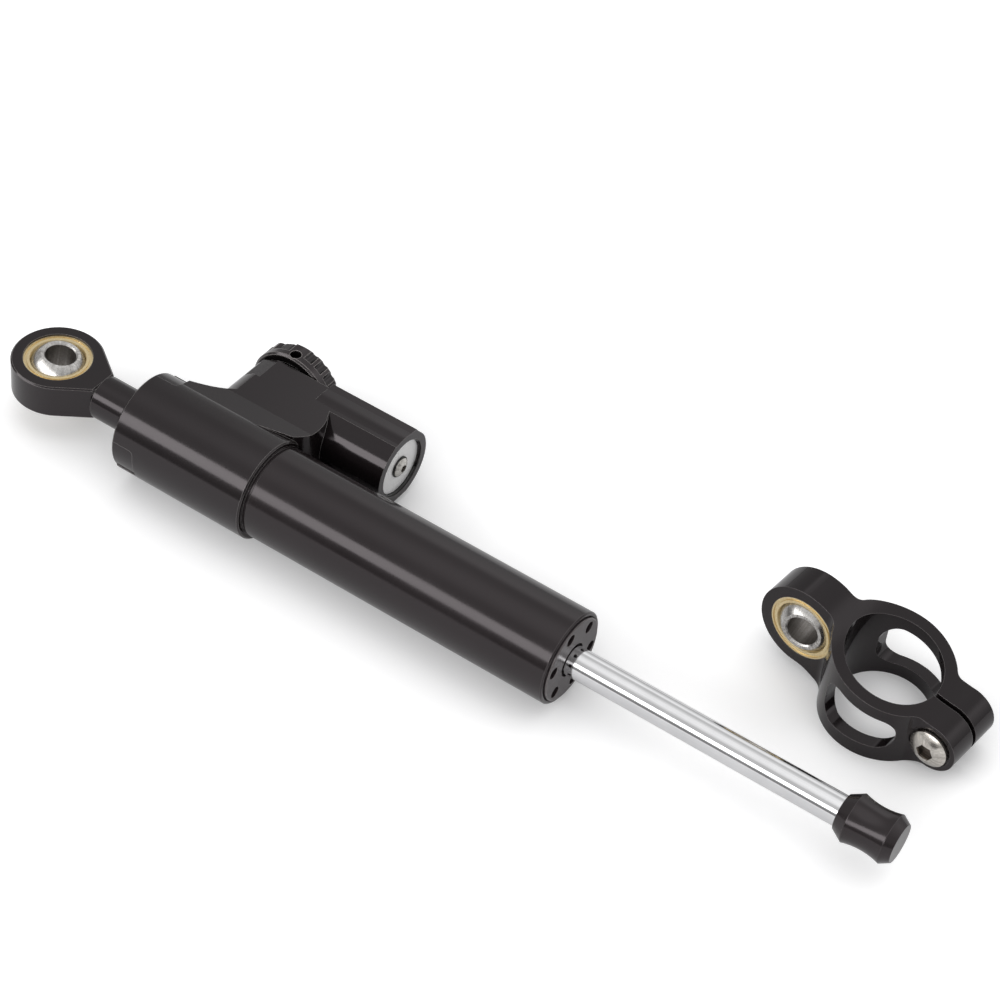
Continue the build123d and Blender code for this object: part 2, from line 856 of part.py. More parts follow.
with BuildPart() as housing_seal:
    turned(
        [
            (housing_bush_start - seat_gap, rod_fit_radius),
            (housing_bush_start - seat_gap, rod_fit_radius + (pocket_radius - rod_fit_radius) * seal_lip_share),
            (
                housing_bush_start - housing_seal_length * seal_lip_share,
                rod_fit_radius + (pocket_radius - rod_fit_radius) * seal_lip_share,
            ),
            (housing_bush_start - housing_seal_length * seal_lip_share, pocket_radius - seat_gap),
            (housing_seal_start + seat_gap, pocket_radius - seat_gap),
            (housing_seal_start + seat_gap, rod_fit_radius),
        ]
    )
housing_seal.part.label = "housing_seal"
export_step(housing_seal.part, "parts/housing_seal.step")

with BuildPart() as housing_wiper:
    turned(
        [
            (housing_seal_start - seat_gap, rod_fit_radius),
            (housing_seal_start - seat_gap, pocket_radius - seat_gap),
            (housing_seal_start - housing_wiper_length * wiper_face_share, pocket_radius - seat_gap),
            (
                housing_seal_start - housing_wiper_length * wiper_face_share,
                (pocket_radius + rod_fit_radius) / 2,
            ),
            (housing_wiper_start, rod_fit_radius + edge_break),
            (housing_wiper_start, rod_fit_radius),
        ]
    )
housing_wiper.part.label = "housing_wiper"
export_step(housing_wiper.part, "parts/housing_wiper.step")

# Face seal between the tube and the housing's inner step
with BuildPart(across((face_seal_start + tube_start) / 2)) as tube_o_ring:
    Torus((tube_bore_radius + tube_radius) / 2, min(tube_wall, face_seal_room) / 2 - seat_gap)
tube_o_ring.part.label = "tube_o_ring"
export_step(tube_o_ring.part, "parts/tube_o_ring.step")

# Piston with a seal groove, a guide band groove and a running bore on the rod
piston_radius = chamber_radius - piston_gap
piston_groove_start = piston_start + piston_groove_margin
band_end = piston_end - piston_groove_margin
band_start = band_end - band_width
with BuildPart() as piston:
    turned(
        [
            (piston_start, rod_radius + running_gap),
            (piston_start, piston_radius - edge_break),
            (piston_start + edge_break, piston_radius),
            (piston_groove_start, piston_radius),
            (piston_groove_start, chamber_radius - piston_groove_depth),
            (piston_groove_start + piston_groove_width, chamber_radius - piston_groove_depth),
            (piston_groove_start + piston_groove_width, piston_radius),
            (band_start - side_gap, piston_radius),
            (band_start - side_gap, chamber_radius - running_gap - band_thickness),
            (band_end + side_gap, chamber_radius - running_gap - band_thickness),
            (band_end + side_gap, piston_radius),
            (piston_end - edge_break, piston_radius),
            (piston_end, piston_radius - edge_break),
            (piston_end, rod_radius + running_gap),
        ]
    )
piston.part.label = "piston"
export_step(piston.part, "parts/piston.step")

with BuildPart() as piston_band:
    turned(
        along(
            band_start,
            band_end,
            chamber_radius - running_gap - band_thickness + seat_gap,
            chamber_radius - running_gap,
        )
    )
piston_band.part.label = "piston_band"
export_step(piston_band.part, "parts/piston_band.step")

piston_ring_radius = (piston_groove_depth - running_gap - seat_gap) / 2
with BuildPart(across(piston_groove_start + piston_groove_width / 2)) as piston_o_ring:
    Torus(chamber_radius - running_gap - piston_ring_radius, piston_ring_radius)
piston_o_ring.part.label = "piston_o_ring"
export_step(piston_o_ring.part, "parts/piston_o_ring.step")


def open_ring(plane, inner, outer, opening, thickness):
    # Flat circlip, open at one side
    with BuildSketch(plane) as ring:
        Circle(outer)
        Circle(inner, mode=Mode.SUBTRACT)
        with Locations((outer, 0)):
            Rectangle(outer * 2, opening, mode=Mode.SUBTRACT)
    extrude(ring.sketch, amount=thickness)


with BuildPart() as piston_clips:
    clip_inner = clip_groove_radius + seat_gap
    open_ring(across(left_clip_start), clip_inner, clip_inner + clip_height, clip_opening, clip_thickness)
    open_ring(across(right_clip_start), clip_inner, clip_inner + clip_height, clip_opening, clip_thickness)
piston_clips.part.label = "piston_clips"
export_step(piston_clips.part, "parts/piston_clips.step")

# Brass seat of the needle valve
with BuildPart() as valve_seat:
    turned(
        [
            (valve_station + orifice_radius, seat_start + seat_gap),
            (valve_station + seat_radius - seat_gap, seat_start + seat_gap),
            (valve_station + seat_radius - seat_gap, cavity_start),
            (valve_station + orifice_radius + orifice_mouth_widening, cavity_start),
            (valve_station + orifice_radius, cavity_start - orifice_mouth_depth),
        ],
        valve_axis,
    )
valve_seat.part.label = "valve_seat"
export_step(valve_seat.part, "parts/valve_seat.step")

# Bush that guides the spindle and carries the needle's thread
spindle_fit_radius = spindle_radius + running_gap
bush_bore_radius = needle_thread_radius + running_gap
spindle_groove_end = valve_bush_end - o_ring_groove_margin
spindle_groove_start = spindle_groove_end - o_ring_groove_width
bush_step = shoulder_end + side_gap
with BuildPart() as valve_bush:
    turned(
        [
            (valve_station + bush_bore_radius, valve_bush_start),
            (valve_station + cavity_radius - seat_gap, valve_bush_start),
            (valve_station + cavity_radius - seat_gap, valve_bush_end),
            (valve_station + spindle_fit_radius, valve_bush_end),
            (valve_station + spindle_fit_radius, spindle_groove_end),
            (valve_station + spindle_radius + spindle_groove_depth, spindle_groove_end),
            (valve_station + spindle_radius + spindle_groove_depth, spindle_groove_start),
            (valve_station + spindle_fit_radius, spindle_groove_start),
            (valve_station + spindle_fit_radius, bush_step),
            (valve_station + bush_bore_radius, bush_step),
        ],
        valve_axis,
    )
valve_bush.part.label = "valve_bush"
export_step(valve_bush.part, "parts/valve_bush.step")

spindle_ring_radius = (spindle_groove_depth - running_gap - seat_gap) / 2
with BuildPart(beside((spindle_groove_start + spindle_groove_end) / 2)) as spindle_o_ring:
    Torus(spindle_radius + running_gap + spindle_ring_radius, spindle_ring_radius)
spindle_o_ring.part.label = "spindle_o_ring"
export_step(spindle_o_ring.part, "parts/spindle_o_ring.step")

# Spindle that the knob turns, with a slot that drives the needle
with BuildPart() as adjuster_spindle:
    turned(
        [
            (valve_station, shoulder_start),
            (valve_station + shoulder_radius, shoulder_start),
            (valve_station + shoulder_radius, shoulder_end),
            (valve_station + spindle_radius, shoulder_end),
            (valve_station + spindle_radius, spindle_end),
            (valve_station, spindle_end),
        ],
        valve_axis,
    )
    with BuildSketch(beside(shoulder_start)):
        Rectangle(drive_slot_length, drive_slot_width)
    extrude(amount=drive_slot_depth, mode=Mode.SUBTRACT)
adjuster_spindle.part.label = "adjuster_spindle"
export_step(adjuster_spindle.part, "parts/adjuster_spindle.step")

# Needle with its threaded collar and driving tang
with BuildPart() as needle:
    turned(
        [
            (valve_station, needle_tip),
            (valve_station + needle_tip_radius, needle_tip),
            (valve_station + needle_stem_radius, needle_cone_start),
            (valve_station + needle_stem_radius, needle_thread_start),
            (valve_station + needle_thread_radius, needle_thread_start),
            (valve_station + needle_thread_radius, needle_thread_end),
            (valve_station, needle_thread_end),
        ],
        valve_axis,
    )
    with BuildSketch(beside(needle_thread_end)):
        Rectangle(tang_length, tang_width)
    extrude(amount=tang_height)
needle.part.label = "needle"
export_step(needle.part, "parts/needle.step")

# Fluted knob, with one position left plain for its set screw and a pointer notch beside it
flute_pitch = 360 / flute_positions
top_angle = -90
with BuildPart() as adjuster_knob:
    with BuildSketch(beside(knob_start)):
        Circle(knob_radius)
    extrude(amount=knob_thickness)
    chamfer(adjuster_knob.edges().filter_by(GeomType.CIRCLE), knob_chamfer)
    with BuildSketch(beside(knob_face)):
        Circle(dish_radius)
    extrude(amount=-dish_depth, mode=Mode.SUBTRACT)
    with BuildSketch(beside(knob_start + flute_floor)):
        with PolarLocations(
            knob_radius - flute_depth + flute_radius,
            flute_positions - 1,
            start_angle=top_angle + flute_pitch,
            angular_range=360 - 2 * flute_pitch,
            endpoint=True,
        ):
            Circle(flute_radius)
        with PolarLocations(knob_radius, 1, start_angle=top_angle - flute_pitch * 3 / 2):
            Rectangle(flute_depth * 2, 2 * knob_radius * sin(radians(flute_pitch / 2)))
    extrude(amount=knob_thickness, mode=Mode.SUBTRACT)
    with BuildSketch(beside(knob_start)):
        Circle(spindle_radius + seat_gap)
    extrude(amount=spindle_end - knob_start + side_gap, mode=Mode.SUBTRACT)
    with BuildSketch(beside(knob_start)):
        Circle(detent_circle_radius + detent_ball_radius + detent_groove_side_gap)
        Circle(detent_circle_radius - detent_ball_radius - detent_groove_side_gap, mode=Mode.SUBTRACT)
    extrude(amount=detent_groove_depth, mode=Mode.SUBTRACT)
    with BuildSketch(
        Plane(
            origin=damper_point(valve_station, knob_start + screw_from_face, 0),
            x_dir=level.x_dir,
            z_dir=level.z_dir,
        )
    ):
        Circle(screw_radius + seat_gap)
    extrude(amount=knob_radius + cut_overrun, mode=Mode.SUBTRACT)
adjuster_knob.part.label = "adjuster_knob"
export_step(adjuster_knob.part, "parts/adjuster_knob.step")

# Set screw that holds the knob on its spindle
screw_foot = damper_point(valve_station, knob_start + screw_from_face, spindle_radius + seat_gap)
with BuildPart() as knob_screw:
    with BuildSketch(Plane(origin=screw_foot, x_dir=level.x_dir, z_dir=level.z_dir)):
        Circle(screw_radius)
    extrude(amount=screw_length)
    with BuildSketch(Plane(origin=screw_foot, x_dir=level.x_dir, z_dir=level.z_dir).offset(screw_length)):
        RegularPolygon(screw_socket / 2, 6, major_radius=False)
    extrude(amount=-screw_socket_depth, mode=Mode.SUBTRACT)
knob_screw.part.label = "knob_screw"
export_step(knob_screw.part, "parts/knob_screw.step")

# Click ball and its spring under the knob
detent_ball_centre = knob_start + detent_groove_depth - detent_ball_radius - side_gap
with BuildPart(
    Plane(
        origin=damper_point(valve_station - detent_circle_radius, detent_ball_centre, 0),
        x_dir=level.x_dir,
        z_dir=level.y_dir,
    )
) as detent_ball:
    Sphere(detent_ball_radius)
detent_ball.part.label = "detent_ball"
export_step(detent_ball.part, "parts/detent_ball.step")

spring_radius = detent_ball_radius - detent_wire_radius - side_gap
spring_foot = boss_end - detent_hole_depth + detent_wire_radius + seat_gap
spring_top = detent_ball_centre - sqrt(detent_ball_radius**2 - spring_radius**2) - detent_wire_radius * 2
spring_height = spring_top - spring_foot
with BuildPart() as detent_spring:
    with BuildLine() as coil:
        Helix(
            spring_height / detent_spring_turns,
            spring_height,
            spring_radius,
            center=damper_point(valve_station - detent_circle_radius, spring_foot, 0),
            direction=level.y_dir,
        )
    with BuildSketch(Plane(origin=coil.line @ 0, z_dir=coil.line % 0)):
        Circle(detent_wire_radius)
    sweep(path=coil.line, is_frenet=True)
detent_spring.part.label = "detent_spring"
export_step(detent_spring.part, "parts/detent_spring.step")

# Reservoir cap with its seal, circlip, bleed screw and washer
cap_radius = reservoir_bore_radius - running_gap
cap_groove_start = cap_start + (cap_thickness - cap_groove_width) / 2
with BuildPart() as reservoir_cap:
    turned(
        [
            (cap_start, reservoir_offset),
            (cap_start, reservoir_offset + cap_radius),
            (cap_groove_start, reservoir_offset + cap_radius),
            (cap_groove_start, reservoir_offset + reservoir_bore_radius - cap_groove_depth),
            (cap_groove_start + cap_groove_width, reservoir_offset + reservoir_bore_radius - cap_groove_depth),
            (cap_groove_start + cap_groove_width, reservoir_offset + cap_radius),
            (cap_face - edge_break, reservoir_offset + cap_radius),
            (cap_face, reservoir_offset + cap_radius - edge_break),
            (cap_face, reservoir_offset),
        ],
        reservoir_axis,
    )
    with BuildSketch(across_reservoir(cap_face)):
        Circle(bleed_radius + seat_gap)
    extrude(amount=-cap_thickness - cut_overrun, mode=Mode.SUBTRACT)
reservoir_cap.part.label = "reservoir_cap"
export_step(reservoir_cap.part, "parts/reservoir_cap.step")

cap_ring_radius = (cap_groove_depth - 2 * seat_gap) / 2
with BuildPart(across_reservoir(cap_groove_start + cap_groove_width / 2)) as cap_o_ring:
    Torus(reservoir_bore_radius - seat_gap - cap_ring_radius, cap_ring_radius)
cap_o_ring.part.label = "cap_o_ring"
export_step(cap_o_ring.part, "parts/cap_o_ring.step")

clip_outer = reservoir_bore_radius + cap_clip_groove_depth - seat_gap
with BuildPart() as cap_circlip:
    open_ring(
        across_reservoir(cap_face + side_gap / 2 + seat_gap),
        clip_outer - cap_clip_height,
        clip_outer,
        cap_clip_opening,
        cap_clip_thickness - seat_gap,
    )
cap_circlip.part.label = "cap_circlip"
export_step(cap_circlip.part, "parts/cap_circlip.step")

washer_start = cap_face + seat_gap
head_start = washer_start + washer_thickness + seat_gap
with BuildPart() as bleed_washer:
    turned(
        along_reservoir(washer_start, washer_start + washer_thickness, bleed_radius + seat_gap, washer_radius),
        reservoir_axis,
    )
bleed_washer.part.label = "bleed_washer"
export_step(bleed_washer.part, "parts/bleed_washer.step")


def button_screw(plane, shank_radius, shank_length, head_radius, head_height, rim_height, socket, socket_depth):
    # Screw with a domed head on a short upright rim: the plane lies under the head and faces outwards
    dome_rise = head_height - rim_height
    dome = (head_radius**2 + dome_rise**2) / (2 * dome_rise)
    with BuildSketch(plane) as shank:
        Circle(shank_radius)
    extrude(shank.sketch, amount=-shank_length)
    with BuildSketch(plane) as head:
        Circle(head_radius)
    extrude(head.sketch, amount=head_height)
    crown = Sphere(dome, mode=Mode.PRIVATE).locate(plane.offset(head_height - dome).location)
    reach = Cylinder(
        head_radius * 2,
        shank_length + head_height,
        align=(Align.CENTER, Align.CENTER, Align.MAX),
        mode=Mode.PRIVATE,
    ).locate(plane.offset(rim_height).location)
    add(crown + reach, mode=Mode.INTERSECT)
    with BuildSketch(plane.offset(head_height)) as hexagon:
        RegularPolygon(socket / 2, 6, major_radius=False)
    extrude(hexagon.sketch, amount=-socket_depth, mode=Mode.SUBTRACT)


with BuildPart() as bleed_screw:
    button_screw(
        across_reservoir(head_start),
        bleed_radius,
        bleed_length,
        bleed_head_radius,
        bleed_head_height,
        bleed_rim_height,
        bleed_socket,
        bleed_socket_depth,
    )
bleed_screw.part.label = "bleed_screw"
export_step(bleed_screw.part, "parts/bleed_screw.step")

# Separator piston that keeps the gas from the oil
separator_radius = reservoir_bore_radius - running_gap
separator_groove_start = separator_start + (separator_length - separator_cup_depth - separator_groove_width) / 2
with BuildPart() as separator_piston:
    turned(
        [
            (separator_start, reservoir_offset),
            (separator_start, reservoir_offset + separator_radius),
            (separator_start + side_gap, reservoir_offset + separator_radius),
            (separator_end - separator_cup_depth + side_gap, reservoir_offset + separator_radius),
            (separator_end, reservoir_offset + separator_radius),
            (separator_end, reservoir_offset + separator_radius - separator_cup_wall),
            (separator_end - separator_cup_depth, reservoir_offset + separator_radius - separator_cup_wall),
            (separator_end - separator_cup_depth, reservoir_offset),
        ],
        reservoir_axis,
    )
    turned(
        along_reservoir(
            separator_groove_start,
            separator_groove_start + separator_groove_width,
            reservoir_bore_radius - separator_groove_depth,
            reservoir_bore_radius + cut_overrun,
        ),
        reservoir_axis,
        Mode.SUBTRACT,
    )
separator_piston.part.label = "separator_piston"
export_step(separator_piston.part, "parts/separator_piston.step")

separator_ring_radius = (separator_groove_depth - running_gap - seat_gap) / 2
with BuildPart(across_reservoir(separator_groove_start + separator_groove_width / 2)) as separator_o_ring:
    Torus(reservoir_bore_radius - running_gap - separator_ring_radius, separator_ring_radius)
separator_o_ring.part.label = "separator_o_ring"
export_step(separator_o_ring.part, "parts/separator_o_ring.step")

# Clamp frame: local x runs level from the ball towards the ears, local y is straight up and
# local z faces the side that the bolt enters from. The ring stands flat where the housing lies.
yaw = radians(clamp_yaw)
clamp_ring_radius = tube_radius + clamp_ring_wall
clamp_level = Plane(
    origin=(clamp_station, clamp_side, floor_height + ring_foot_depth),
    x_dir=(cos(yaw), sin(yaw), 0),
    z_dir=(sin(yaw), -cos(yaw), 0),
)
ear_station = clamp_ring_offset + ear_offset
ear_end = ear_station + ear_radius
rim_side = clamp_ring_radius * rim_side_share


def clamp_edgewise(out):
    # Plane across the ring's axis, at a height along it: local x as the clamp's, local y against its z
    return Plane(
        origin=clamp_level.from_local_coords((0, out, 0)), x_dir=clamp_level.x_dir, z_dir=clamp_level.y_dir
    )


with BuildPart() as clamp_body:
    # outline seen along the ring's axis: lug, ring and ears
    with BuildSketch(clamp_edgewise(0)) as edgewise:
        with Locations((clamp_ring_offset, 0)):
            Circle(clamp_ring_radius)
        with Locations((-lug_radius, 0)):
            Rectangle(
                lug_radius + clamp_ring_offset, lug_half_thickness * 2, align=(Align.MIN, Align.CENTER)
            )
        with Locations((clamp_ring_offset, 0)):
            Rectangle(ear_end - clamp_ring_offset, ear_half_width * 2, align=(Align.MIN, Align.CENTER))
        fillet(edgewise.vertices().sort_by(Axis.X)[2:4], lug_blend_radius)
        fillet(edgewise.vertices().sort_by(Axis.X)[-4:-2], ear_blend_radius)
    extrude(amount=ring_foot_depth, both=True)
    # outline seen from the bolt's side: round lug, ring with a sloping top and a flat foot, round ears
    with BuildSketch(clamp_level):
        Circle(lug_radius)
        with Locations((ear_station, -ear_drop)):
            Circle(ear_radius)
        with BuildLine():
            Spline(
                (0, lug_radius),
                (clamp_ring_offset - rim_side, ring_top_lug_side),
                (clamp_ring_offset, ring_top_middle),
                (clamp_ring_offset + rim_side, ring_top_ear_side),
                (ear_station, ear_radius - ear_drop),
                tangents=[(1, 0), (1, 0)],
            )
            Line((ear_station, ear_radius - ear_drop), (ear_station, -ear_radius - ear_drop))
            Spline(
                (ear_station, -ear_radius - ear_drop),
                (clamp_ring_offset + rim_side, -ring_foot_depth),
                tangents=[(-1, 0), (-1, 0)],
            )
            Line((clamp_ring_offset + rim_side, -ring_foot_depth), (clamp_ring_offset - rim_side, -ring_foot_depth))
            Spline(
                (clamp_ring_offset - rim_side, -ring_foot_depth),
                (0, -lug_radius),
                tangents=[(-1, 0), (-1, 0)],
            )
            Line((0, -lug_radius), (0, lug_radius))
        make_face()
    extrude(amount=clamp_ring_radius + cut_overrun, both=True, mode=Mode.INTERSECT)
    # ring bore
    with BuildSketch(clamp_edgewise(0)):
        with Locations((clamp_ring_offset, 0)):
            Circle(tube_radius)
    extrude(amount=ring_foot_depth + cut_overrun, both=True, mode=Mode.SUBTRACT)
    # windows through both walls of the ring, a little narrower towards the ears
    with BuildSketch(clamp_level):
        with BuildLine():
            FilletPolyline(
                (clamp_ring_offset - window_lug_reach, window_lug_top),
                (clamp_ring_offset + window_ear_reach, -window_ear_top),
                (clamp_ring_offset + window_ear_reach, -window_ear_foot),
                (clamp_ring_offset - window_lug_reach, -window_lug_foot),
                radius=window_corner_radius,
                close=True,
            )
        make_face()
    extrude(amount=clamp_ring_radius + cut_overrun, both=True, mode=Mode.SUBTRACT)
    # slit between the ears
    with BuildSketch(clamp_edgewise(0)):
        with Locations((clamp_ring_offset, 0)):
            Rectangle(ear_end, slit_width, align=(Align.MIN, Align.CENTER))
    extrude(amount=ring_foot_depth + cut_overrun, both=True, mode=Mode.SUBTRACT)
    # race seat
    with BuildSketch(clamp_level):
        Circle(race_radius + seat_gap)
    extrude(amount=clamp_ring_radius, both=True, mode=Mode.SUBTRACT)
    # bolt hole and the counterbore of its head
    with BuildSketch(clamp_level):
        with Locations((ear_station, -ear_drop)):
            Circle(bolt_radius + seat_gap)
    extrude(amount=ear_half_width + cut_overrun, both=True, mode=Mode.SUBTRACT)
    with BuildSketch(clamp_level.offset(ear_half_width - bolt_head_sink)):
        with Locations((ear_station, -ear_drop)):
            Circle(bolt_head_radius + bolt_head_gap)
    extrude(amount=bolt_head_sink + cut_overrun, mode=Mode.SUBTRACT)
clamp_body.part.label = "clamp_body"
export_step(clamp_body.part, "parts/clamp_body.step")

with BuildPart(clamp_level) as clamp_race:
    bearing_race()
    countersinks()
    staking_groove(clamp_level.offset(race_width / 2))
    staking_groove(clamp_level.offset(-race_width / 2))
clamp_race.part.label = "clamp_race"
export_step(clamp_race.part, "parts/clamp_race.step")

with BuildPart(leaning(clamp_level, clamp_ball_lean, clamp_ball_lean_heading)) as clamp_ball:
    bearing_ball()
    chamfer(
        clamp_ball.edges().filter_by(GeomType.CIRCLE).filter_by(lambda e: e.radius < ball_bore_radius + seat_gap),
        ball_bore_chamfer,
    )
clamp_ball.part.label = "clamp_ball"
export_step(clamp_ball.part, "parts/clamp_ball.step")

bolt_plane = Plane(
    origin=clamp_level.from_local_coords((ear_station, -ear_drop, ear_half_width - bolt_head_sink + seat_gap)),
    x_dir=clamp_level.x_dir,
    z_dir=clamp_level.z_dir,
)
with BuildPart() as clamp_bolt:
    button_screw(
        bolt_plane,
        bolt_radius,
        2 * ear_half_width - bolt_head_sink - bolt_end_margin,
        bolt_head_radius,
        bolt_head_height,
        bolt_rim_height,
        bolt_socket,
        bolt_socket_depth,
    )
clamp_bolt.part.label = "clamp_bolt"
export_step(clamp_bolt.part, "parts/clamp_bolt.step")
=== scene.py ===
import bpy
import json
from math import pi
from mathutils import Matrix, Vector


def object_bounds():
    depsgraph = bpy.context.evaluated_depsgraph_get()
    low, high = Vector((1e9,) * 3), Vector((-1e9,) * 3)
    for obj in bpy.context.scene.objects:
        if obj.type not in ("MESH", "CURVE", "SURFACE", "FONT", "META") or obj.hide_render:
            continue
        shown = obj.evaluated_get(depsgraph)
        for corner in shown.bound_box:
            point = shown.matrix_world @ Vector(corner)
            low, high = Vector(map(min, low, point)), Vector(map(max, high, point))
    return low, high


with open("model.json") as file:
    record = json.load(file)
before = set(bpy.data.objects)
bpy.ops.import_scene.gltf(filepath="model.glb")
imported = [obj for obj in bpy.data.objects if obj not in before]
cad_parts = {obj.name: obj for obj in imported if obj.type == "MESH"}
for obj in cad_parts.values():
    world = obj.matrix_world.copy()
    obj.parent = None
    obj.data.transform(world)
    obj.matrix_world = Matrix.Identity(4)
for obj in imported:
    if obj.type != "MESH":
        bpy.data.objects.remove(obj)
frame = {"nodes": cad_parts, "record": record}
cad_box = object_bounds()
cad = frame["nodes"]
scene = bpy.context.scene

MM = 0.001
MM_PER_METRE = 1000.0
WHITE = (1.0, 1.0, 1.0)
# The sockets for colours on a Mix node, which has others of the same names
MIX_FACTOR, MIX_FROM, MIX_TO, MIX_RESULT = 0, 6, 7, 2
floor_z = cad_box[0][2]


# ---------------------------------------------------------------- node trees
class Nodes:
    """A node tree with a few short calls. A value is a node's output, a number or a tuple."""

    def __init__(self, tree):
        self.tree = tree

    def node(self, kind, **settings):
        made = self.tree.nodes.new("ShaderNode" + kind)
        for key, value in settings.items():
            setattr(made, key, value)
        return made

    def feed(self, socket, value):
        """Links an output to the socket, or sets the socket to a number, a vector or a colour."""
        if isinstance(value, bpy.types.NodeSocket):
            self.tree.links.new(value, socket)
        elif socket.type == "RGBA":
            socket.default_value = (*value, 1.0)
        else:
            socket.default_value = value

    def ramp(self, value, low, high, to_low, to_high, curve="LINEAR"):
        """Takes the value from the range low to high into the range to_low to to_high."""
        made = self.node("MapRange", interpolation_type=curve)
        made.inputs["From Min"].default_value = low
        made.inputs["From Max"].default_value = high
        made.inputs["To Min"].default_value = to_low
        made.inputs["To Max"].default_value = to_high
        self.feed(made.inputs["Value"], value)
        return made.outputs[0]

    def math(self, operation, a, b):
        made = self.node("Math", operation=operation)
        self.feed(made.inputs[0], a)
        self.feed(made.inputs[1], b)
        return made.outputs[0]

    def vector(self, operation, a, b):
        made = self.node("VectorMath", operation=operation)
        self.feed(made.inputs[0], a)
        self.feed(made.inputs[1], b)
        return made.outputs["Value"] if operation in ("DOT_PRODUCT", "LENGTH") else made.outputs[0]

    def scaled(self, vector, factor):
        made = self.node("VectorMath", operation="SCALE")
        self.feed(made.inputs[0], vector)
        self.feed(made.inputs["Scale"], factor)
        return made.outputs[0]

    def mix(self, factor, a, b):
        """Colour a where the factor is 0, colour b where it is 1."""
        made = self.node("Mix", data_type="RGBA")
        self.feed(made.inputs[MIX_FACTOR], factor)
        self.feed(made.inputs[MIX_FROM], a)
        self.feed(made.inputs[MIX_TO], b)
        return made.outputs[MIX_RESULT]


class Shader(Nodes):
    """A new Principled material, with object coordinates in millimetres."""

    def __init__(self, name):
        self.material = bpy.data.materials.new(name)
        self.material.use_nodes = True
        super().__init__(self.material.node_tree)
        self.bsdf = self.tree.nodes["Principled BSDF"]
        self.mm = self.scaled(self.node("TexCoord").outputs["Object"], MM_PER_METRE)

    def fixed(self, **values):
        """Sets the shader's own sockets, with _ for each space in a socket's name."""
        for key, value in values.items():
            self.bsdf.inputs[key.replace("_", " ")].default_value = value

    def noise(self, per_mm, detail, rough=0.5):
        """Noise with that many features per millimetre: one number, or one for each axis."""
        stretch = self.node("Mapping")
        stretch.inputs["Scale"].default_value = per_mm if isinstance(per_mm, tuple) else (per_mm,) * 3
        self.feed(stretch.inputs["Vector"], self.mm)
        return self.noise_at(stretch.outputs[0], detail, rough)

    def noise_at(self, place, detail, rough):
        made = self.node("TexNoise")
        made.inputs["Scale"].default_value = 1.0
        made.inputs["Detail"].default_value = detail
        made.inputs["Roughness"].default_value = rough
        self.feed(made.inputs["Vector"], place)
        return made.outputs["Fac"]

    def vary(self, noise, low, high, band=0.2):
        """A value from low to high. Noise keeps near 0.5, and the band is how far from it counts."""
        return self.ramp(noise, 0.5 - band, 0.5 + band, low, high)

    def about(self, centre, axis):
        """(outward direction, distance from the axis, height along it) of a turned piece, in mm."""
        axis = tuple(Vector(axis).normalized())
        arm = self.vector("SUBTRACT", self.mm, centre)
        height = self.vector("DOT_PRODUCT", arm, axis)
        out = self.vector("SUBTRACT", arm, self.scaled(axis, height))
        away = self.node("VectorMath", operation="NORMALIZE")
        self.feed(away.inputs[0], out)
        return away.outputs[0], self.vector("LENGTH", out, (0.0, 0.0, 0.0)), height

    def edges(self, radius_mm, face_turn=0.004, edge_turn=0.06):
        """(0 on faces to 1 on sharp edges, the rounded normal)."""
        bevel = self.node("Bevel", samples=6)
        bevel.inputs["Radius"].default_value = radius_mm * MM
        flat = self.node("NewGeometry").outputs["Normal"]
        likeness = self.vector("DOT_PRODUCT", bevel.outputs[0], flat)
        return self.ramp(likeness, 1.0 - face_turn, 1.0 - edge_turn, 0.0, 1.0), bevel.outputs[0]

    def bump(self, height, distance_mm, strength=0.5, normal=None):
        made = self.node("Bump")
        made.inputs["Strength"].default_value = strength
        made.inputs["Distance"].default_value = distance_mm * MM
        self.feed(made.inputs["Height"], height)
        if normal is not None:
            self.feed(made.inputs["Normal"], normal)
        return made.outputs[0]

    def finish(self, color, roughness, normal):
        self.feed(self.bsdf.inputs["Base Color"], color)
        self.feed(self.bsdf.inputs["Roughness"], roughness)
        self.feed(self.bsdf.inputs["Normal"], normal)
        return self.material


# ---------------------------------------------------------------- kinds of finish
DEEP_BLACK = (0.0105, 0.0080, 0.0084)
PALE_BLACK = (0.0165, 0.0130, 0.0136)
# Painted shade on the floors of the knob's flutes
FLUTE_FLOOR_SHADE = (0.004, 0.0035, 0.0035)
# Painted highlight: the paler colour put along sharp edges
EDGE_HIGHLIGHT_GREY = (0.13, 0.12, 0.12)
BLACK_GLOSS_TINT = (1.0, 0.92, 0.95, 1.0)
# Painted shade for the gap between a race and its ball
GAP_SHADE_BROWN = (0.035, 0.028, 0.02)
# Painted shade inside bores and sockets
BORE_SHADE_GREY = (0.16, 0.14, 0.125)
DARK_RUBBER = (0.010, 0.010, 0.010)
PALE_RUBBER = (0.022, 0.021, 0.021)
# Noise, in features per millimetre
BLACK_CLOUDS, BRASS_SPECKLE, STEEL_SPECKLE, RUBBER_GRAIN = 0.05, 3.0, 2.2, 6.0
# Heights of the marks and edge roundings in millimetres
ANODISED_MARKS, TURNED_MARKS, RUBBER_MARKS = 0.0012, 0.004, 0.01
METAL_EDGE, TURNED_EDGE = 0.12, 0.1
# Steps between two shades, in millimetres about the radius or below the height where they meet; they
# edge the painted shade in the races' gaps, the bores and the sockets
GAP_SHADE_STEP, BORE_STEP_IN, BORE_STEP_OUT, SOCKET_STEP = 0.2, 0.05, 0.1, 0.12
# Shares and roughnesses
MARK_GLOSS = (-0.03, 0.05)
BRASS_GLOSS = (0.34, 0.5)
RUBBER_GLOSS = (0.45, 0.62)
BORE_DULLNESS = 0.2
STREAK_SHARE = 0.6


